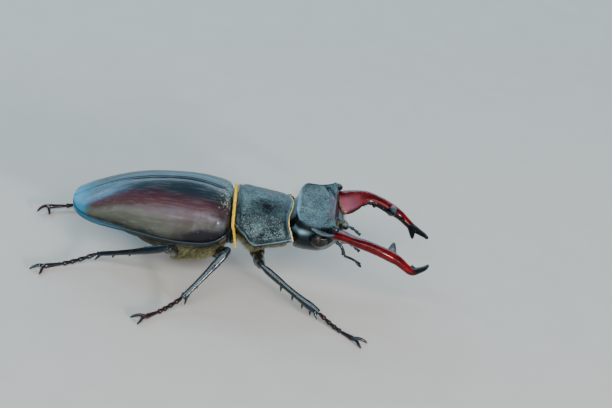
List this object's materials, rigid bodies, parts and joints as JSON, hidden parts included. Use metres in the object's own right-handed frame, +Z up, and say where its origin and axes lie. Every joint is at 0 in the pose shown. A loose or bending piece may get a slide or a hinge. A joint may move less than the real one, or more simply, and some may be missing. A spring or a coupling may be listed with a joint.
{
  "type": "male stag beetle",
  "caption": "Life-size male stag beetle, standing on all six feet with its head raised and its antler-like jaws open.",
  "frame": {"origin": "on the floor under the middle of the whole beetle's bounding box", "axes": "+X from the tail to the jaws, +Y to the beetle's left, +Z up"},
  "size_m": [0.0782, 0.0613, 0.0171],
  "materials": {
    "wing_case": "satin-gloss dark chestnut chitin with fine punctures",
    "black_cuticle": "finely punctured dull black chitin",
    "jaw": "polished blood-red chitin, black at teeth and tips",
    "underside": "dark chitin under short yellow-grey down",
    "leg": "glossy black chitin",
    "foot": "glossy dark red-brown chitin",
    "eye": "finely faceted glossy black",
    "hair": "short golden hair"
  },
  "bodies": {
    "root": {"abdomen": "underside", "antenna_club_left": "leg", "antenna_club_right": "leg", "antenna_scape_left": "leg", "antenna_scape_right": "leg", "coxa_fore_left": "leg", "coxa_fore_right": "leg", "coxa_hind_left": "leg", "coxa_hind_right": "leg", "coxa_mid_left": "leg", "coxa_mid_right": "leg", "elytron_left": "wing_case", "elytron_right": "wing_case", "eye_left": "eye", "eye_right": "eye", "femur_fore_left": "leg", "femur_fore_right": "leg", "femur_hind_left": "leg", "femur_hind_right": "leg", "femur_mid_left": "leg", "femur_mid_right": "leg", "head": "black_cuticle", "labrum": "black_cuticle", "mandible_left": "jaw", "mandible_right": "jaw", "metathorax": "underside", "palp_left": "leg", "palp_right": "leg", "pronotum": "black_cuticle", "prosternum": "underside", "scutellum": "black_cuticle", "tarsus_fore_left": "foot", "tarsus_fore_right": "foot", "tarsus_hind_left": "foot", "tarsus_hind_right": "foot", "tarsus_mid_left": "foot", "tarsus_mid_right": "foot", "tibia_fore_left": "leg", "tibia_fore_right": "leg", "tibia_hind_left": "leg", "tibia_hind_right": "leg", "tibia_mid_left": "leg", "tibia_mid_right": "leg", "waist": "black_cuticle"}
  },
  "joints": []
}
